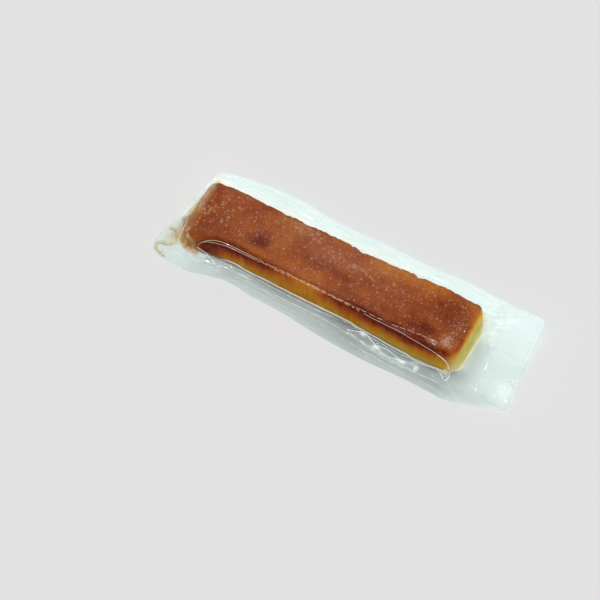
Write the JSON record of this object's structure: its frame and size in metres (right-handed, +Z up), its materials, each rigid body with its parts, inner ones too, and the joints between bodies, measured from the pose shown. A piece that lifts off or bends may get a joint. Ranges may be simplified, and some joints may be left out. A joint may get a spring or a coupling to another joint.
{
  "type": "nougat bar in a clear sealed bag",
  "caption": "Long nougat bar with a toasted caramel top, lying sealed in its own clear film bag with film skirts along its sides and a flat flap at each end.",
  "frame": {"origin": "centre of the flat underside of the bar", "axes": "+X along the bar toward the wide end flap, +Z up from the table"},
  "size_m": [0.2433, 0.081, 0.021],
  "materials": {
    "toasted_nougat": "toasted caramel top over yellow almond paste, moist",
    "sugar_syrup": "clear, golden, wet",
    "clear_film": "clear, glossy, wrinkled"
  },
  "bodies": {
    "root": {"sealed_bag": "toasted_nougat"}
  },
  "joints": []
}
